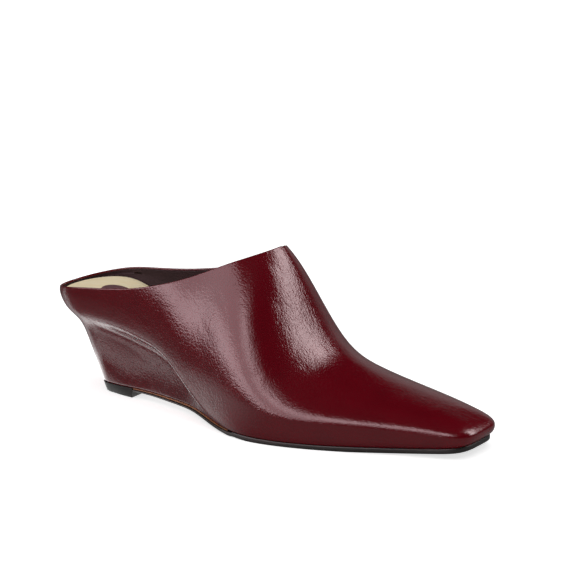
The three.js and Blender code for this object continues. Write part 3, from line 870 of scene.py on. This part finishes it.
sole_rings = [
    edge_ring(inset - SOLE_LIP, between(sole_low, sole_high, share), BUTT + BUTT_GAP + inset)
    for inset, share in THIN_EDGE
]
outsole = plate("leather_outsole", sole_rings, burnished_black_sole())
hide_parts("outsole")


# Top lift
# A small black rubber lift nailed and cemented under the back of the wedge, cut square in front.

LIFT_LIP = 0.3
LIFT_TAPER = 1.8
LIFT_TAPER_LENGTH = 20

# Section of the lift's edge, as for the thin plates
LIFT_EDGE = (
    (1.6, 0.0), (0.3, 0.0), (0.08, 0.04), (0.0, 0.1), (0.0, 0.9), (0.08, 0.96), (0.3, 1.0), (1.6, 1.0),
)


def lift_low(x):
    return np.zeros(x.shape)


def black_lift_rubber():
    """Hard black rubber, matt, with a fine moulded texture."""
    made, tree, place = new_material("black_lift_rubber")
    texture = add_node(tree, "ShaderNodeTexNoise", None, {
        "Vector": place, "Scale": millimetre_scale(0.7), "Detail": 2.0,
    })
    height = times(tree, texture.outputs["Fac"], 0.05)
    tone = between_colours(tree, texture.outputs["Fac"], "#1a1918", "#2b2a28")
    finish_material(tree, {"Specular IOR Level": 0.15, "Roughness": 0.6}, height, {"Base Color": tone})
    return made


behind_front = np.clip((LIFT_FRONT - station) / LIFT_TAPER_LENGTH, 0, 1)
lift_rings = [
    edge_ring(
        inset - LIFT_LIP + LIFT_TAPER * behind_front * (1 - share),
        between(lift_low, strip_high, share), None, BUTT - inset,
    )
    for inset, share in LIFT_EDGE
]
top_lift = plate("rubber_top_lift", lift_rings, black_lift_rubber())
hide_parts("top_lift")


# Floor, lights and camera
# A white table in a dark studio. Rose-tinted softboxes stand on the shoe's outer side, in front of it
# and behind its toe, a dim wall behind it, and a soft light above shines on the table and the bed.

from mathutils import Matrix, Quaternion, Vector

CAMERA_AZIMUTH = math.radians(32.8)
CAMERA_ELEVATION = math.radians(14.4)
CAMERA_DISTANCE = 1400
FOCAL_PIXELS = 2784
IMAGE_SIZE = 562
SENSOR = 36
NEAR_CLIP = 0.01
FAR_CLIP = 50
AIM = np.array([125.0, 0.0, 30.0])
AIM_RIGHT = 6.3
AIM_UP = 36.8


def direction(azimuth, elevation):
    """Unit vector towards an azimuth, where 0 is the outer side and 90 the toe, and an elevation."""
    level = math.cos(elevation)
    return np.array([math.sin(azimuth) * level, -math.cos(azimuth) * level, math.sin(elevation)])


back = direction(CAMERA_AZIMUTH, CAMERA_ELEVATION)
right = np.array([math.cos(CAMERA_AZIMUTH), math.sin(CAMERA_AZIMUTH), 0.0])
up = np.cross(back, right)
camera_place = (AIM + right * AIM_RIGHT + up * AIM_UP + back * CAMERA_DISTANCE + SHIFT) * MM
bpy.ops.object.camera_add(location=camera_place)
camera = bpy.context.active_object
camera.name = "camera"
camera.rotation_mode = "QUATERNION"
camera.rotation_quaternion = Matrix(np.stack([right, up, back], 1).tolist()).to_quaternion()
camera.data.sensor_width = SENSOR
camera.data.lens = SENSOR * FOCAL_PIXELS / IMAGE_SIZE
camera.data.clip_start = NEAR_CLIP
camera.data.clip_end = FAR_CLIP
bpy.context.scene.camera = camera

# Directions and rolls in degrees, sizes in metres. Each box fades out over a share of its size.
SOFTBOXES = {
    "columns": (
        "name", "azimuth", "elevation", "distance", "width", "height",
        "radiance", "edge_share", "roll", "tint",
    ),
    "rows": (
        ("side_softbox", -30, 34, 1.2, 2.1, 1.5, 3.0, 0.15, 0, (1, 0.82, 0.87)),
        ("side_softbox_core", -36, 14, 1.19, 1.6, 0.62, 2.9, 0.3, 0, (1, 0.82, 0.87)),
        ("front_softbox", 18, 45, 1.18, 1.0, 1.2, 3.0, 0.45, 0, (1, 0.82, 0.86)),
        ("toe_softbox", 140, 36, 1.2, 0.5, 1.15, 7.8, 0.3, -42, (1, 0.84, 0.86)),
        ("back_wall", -165, 13, 2.2, 3.4, 1.1, 0.32, 0.3, 0, (1, 1, 1)),
    ),
}


def softbox(name, azimuth, elevation, distance, width, height, radiance, edge_share, roll, tint):
    """A rectangular light that only the gloss shows, as bright as a lit cloth that faces the shoe."""
    towards = direction(math.radians(azimuth), math.radians(elevation))
    bpy.ops.object.light_add(type="AREA", location=towards * distance)
    light = bpy.context.active_object
    light.name = name
    light.data.shape = "RECTANGLE"
    light.data.size = width
    light.data.size_y = height
    light.data.energy = radiance * math.pi * width * height
    light.rotation_mode = "QUATERNION"
    turned = Vector(towards).to_track_quat("Z", "Y")
    light.rotation_quaternion = turned @ Quaternion((0, 0, 1), math.radians(roll))
    light.data.color = tint
    light.visible_diffuse = False
    light.visible_camera = False
    light.data.use_nodes = True
    tree = light.data.node_tree
    tree.nodes.clear()
    spot = add_node(tree, "ShaderNodeNewGeometry").outputs["Parametric"]
    centred = add_node(tree, "ShaderNodeVectorMath", {"operation": "SUBTRACT"}, {0: spot, 1: (0.5, 0.5, 0)})
    away = add_node(tree, "ShaderNodeVectorMath", {"operation": "ABSOLUTE"}, {0: centred.outputs["Vector"]})
    part = add_node(tree, "ShaderNodeSeparateXYZ", None, {"Vector": away.outputs["Vector"]})
    fades = [
        add_node(tree, "ShaderNodeMapRange", {"interpolation_type": "SMOOTHSTEP"}, {
            "Value": part.outputs[axis], "From Min": 0.5, "From Max": 0.5 - edge_share,
        }).outputs["Result"]
        for axis in ("X", "Y")
    ]
    glow = add_node(tree, "ShaderNodeEmission", None, {"Strength": times(tree, *fades)})
    add_node(tree, "ShaderNodeOutputLight", None, {"Surface": glow.outputs["Emission"]})


for row in SOFTBOXES["rows"]:
    softbox(**dict(zip(SOFTBOXES["columns"], row)))

TOP_LIGHT_HEIGHT = 1.6
TOP_LIGHT_SIZE = 2.0
TOP_LIGHT_WATTS = 14
bpy.ops.object.light_add(type="AREA", location=(0, 0, TOP_LIGHT_HEIGHT))
top_light = bpy.context.active_object
top_light.name = "top_light"
top_light.data.size = TOP_LIGHT_SIZE
top_light.data.energy = TOP_LIGHT_WATTS
top_light.visible_camera = False
top_light.visible_glossy = False

TABLE_SIZE = 12
TABLE_GRAIN = 25
TABLE_GRAIN_HEIGHT = 0.01
TABLE_WHITENESS = 0.7
SHOE_HALF_BOX = (0.115, 0.03, 0)
RING_WIDTH = 0.15

# Where each fade of the painted shade and the painted glow starts and ends on the table in metres, and its
# strength there
HEEL_HALF = (0.02, -0.04, 0.0, 1.0)
UNDER_SHOE = (0.027, 0.008, 0.0, 1.5)
BEHIND_HEEL = (-0.155, -0.125, 0.7, 2.1)

# Painted glow that only the gloss sees beside the heel, standing in for light that the table throws back
# there: share of the ring's width, and strength
RING_TONES = ((0.04, 0.12), (0.067, 0.9), (0.11, 1.0), (0.17, 0.42), (0.5, 0.28), (0.73, 0.2), (1.0, 0.05))
RING_START = 0.1
bpy.ops.mesh.primitive_plane_add(size=TABLE_SIZE)
floor = bpy.context.active_object
floor.name = "table"


def fade_over(tree, value, start, end, low, high):
    """A soft change from low to high as a value in metres goes from start to end."""
    return add_node(tree, "ShaderNodeMapRange", {"interpolation_type": "SMOOTHSTEP"}, {
        "Value": value, "From Min": start, "From Max": end, "To Min": low, "To Max": high,
    }).outputs["Result"]


def white_table():
    """Matt white card, white to the camera. To the gloss its colour is painted darker, darker still over
    the heel half, and it has a painted glow close beside the heel.
    """
    made, tree, place = new_material("white_table")
    grain = add_node(tree, "ShaderNodeTexNoise", None, {
        "Vector": place, "Scale": millimetre_scale(TABLE_GRAIN),
    })
    rays = add_node(tree, "ShaderNodeLightPath")
    spot = add_node(tree, "ShaderNodeSeparateXYZ", None, {"Vector": place})
    heel_half = fade_over(tree, spot.outputs["X"], *HEEL_HALF)
    # Painted shade: the table as the gloss sees it is a darker grey than to the camera, darker still over
    # the heel half, standing in for a table lying in shade there.
    painted_shade_in_gloss = between_colours(tree, heel_half, "#b4b4b4", "#6a6a6a")
    tone = add_node(tree, "ShaderNodeMix", {"data_type": "RGBA"}, {
        0: rays.outputs["Is Glossy Ray"], 6: linear("#f6f6f6"), 7: painted_shade_in_gloss,
    })
    beside = add_node(tree, "ShaderNodeVectorMath", {"operation": "ABSOLUTE"}, {0: place})
    past = add_node(tree, "ShaderNodeVectorMath", {"operation": "SUBTRACT"}, {
        0: beside.outputs["Vector"], 1: SHOE_HALF_BOX,
    })
    outside = add_node(tree, "ShaderNodeVectorMath", {"operation": "MAXIMUM"}, {
        0: past.outputs["Vector"], 1: (0, 0, 0),
    })
    away = add_node(tree, "ShaderNodeVectorMath", {"operation": "LENGTH"}, {0: outside.outputs["Vector"]})
    ring_share = times(tree, away.outputs["Value"], 1 / RING_WIDTH)
    ring = add_node(tree, "ShaderNodeValToRGB", None, {"Fac": ring_share})
    stops = ring.color_ramp.elements
    stops.remove(stops[1])
    stops[0].position = 0.0
    stops[0].color = (RING_START, RING_START, RING_START, 1)
    for share, strength in RING_TONES:
        stops.new(share).color = (strength, strength, strength, 1)
    sideways = add_node(tree, "ShaderNodeSeparateXYZ", None, {"Vector": beside.outputs["Vector"]})
    under_shoe = fade_over(tree, sideways.outputs["Y"], *UNDER_SHOE)
    near = add_node(tree, "ShaderNodeMath", {"operation": "MAXIMUM"}, {
        0: ring.outputs["Color"], 1: under_shoe,
    })
    behind_heel = fade_over(tree, spot.outputs["X"], *BEHIND_HEEL)
    # Painted glow: to the gloss alone the table shines in a ring round the shoe and in a band under it,
    # over the heel half, standing in for lit table beside the heel.
    painted_glow_in_gloss = times(tree, times(tree, near.outputs["Value"], heel_half), behind_heel)
    white = times(tree, rays.outputs["Is Camera Ray"], TABLE_WHITENESS)
    seen = add_node(tree, "ShaderNodeMath", {"operation": "MULTIPLY_ADD"}, {
        0: rays.outputs["Is Glossy Ray"], 1: painted_glow_in_gloss, 2: white,
    })
    finish_material(tree, {
        "Roughness": 0.9, "Specular IOR Level": 0.0, "Emission Color": (1, 1, 1, 1),
    }, times(tree, grain.outputs["Fac"], TABLE_GRAIN_HEIGHT), {
        "Base Color": tone.outputs[2], "Emission Strength": seen.outputs["Value"],
    })
    return made


floor.data.materials.append(white_table())

# How bright the room is: to the matt pieces, to the gloss, and behind the shoe
ROOM_LIGHT = 0.3
ROOM_IN_GLOSS = 0.008
ROOM_BEHIND = 1.1
world = bpy.data.worlds.new("studio")
bpy.context.scene.world = world
world.use_nodes = True
studio = world.node_tree
studio.nodes.clear()
rays = add_node(studio, "ShaderNodeLightPath")
room_light, dark_room, white_back = [
    add_node(studio, "ShaderNodeBackground", None, {"Color": (1, 1, 1, 1), "Strength": strength}).outputs[0]
    for strength in (ROOM_LIGHT, ROOM_IN_GLOSS, ROOM_BEHIND)
]
lit = add_node(studio, "ShaderNodeMixShader", None, {
    0: rays.outputs["Is Glossy Ray"], 1: room_light, 2: dark_room,
})
seen = add_node(studio, "ShaderNodeMixShader", None, {
    0: rays.outputs["Is Camera Ray"], 1: lit.outputs[0], 2: white_back,
})
add_node(studio, "ShaderNodeOutputWorld", None, {"Surface": seen.outputs[0]})
bpy.context.scene.view_settings.view_transform = "Standard"
bpy.context.scene.view_settings.look = "None"
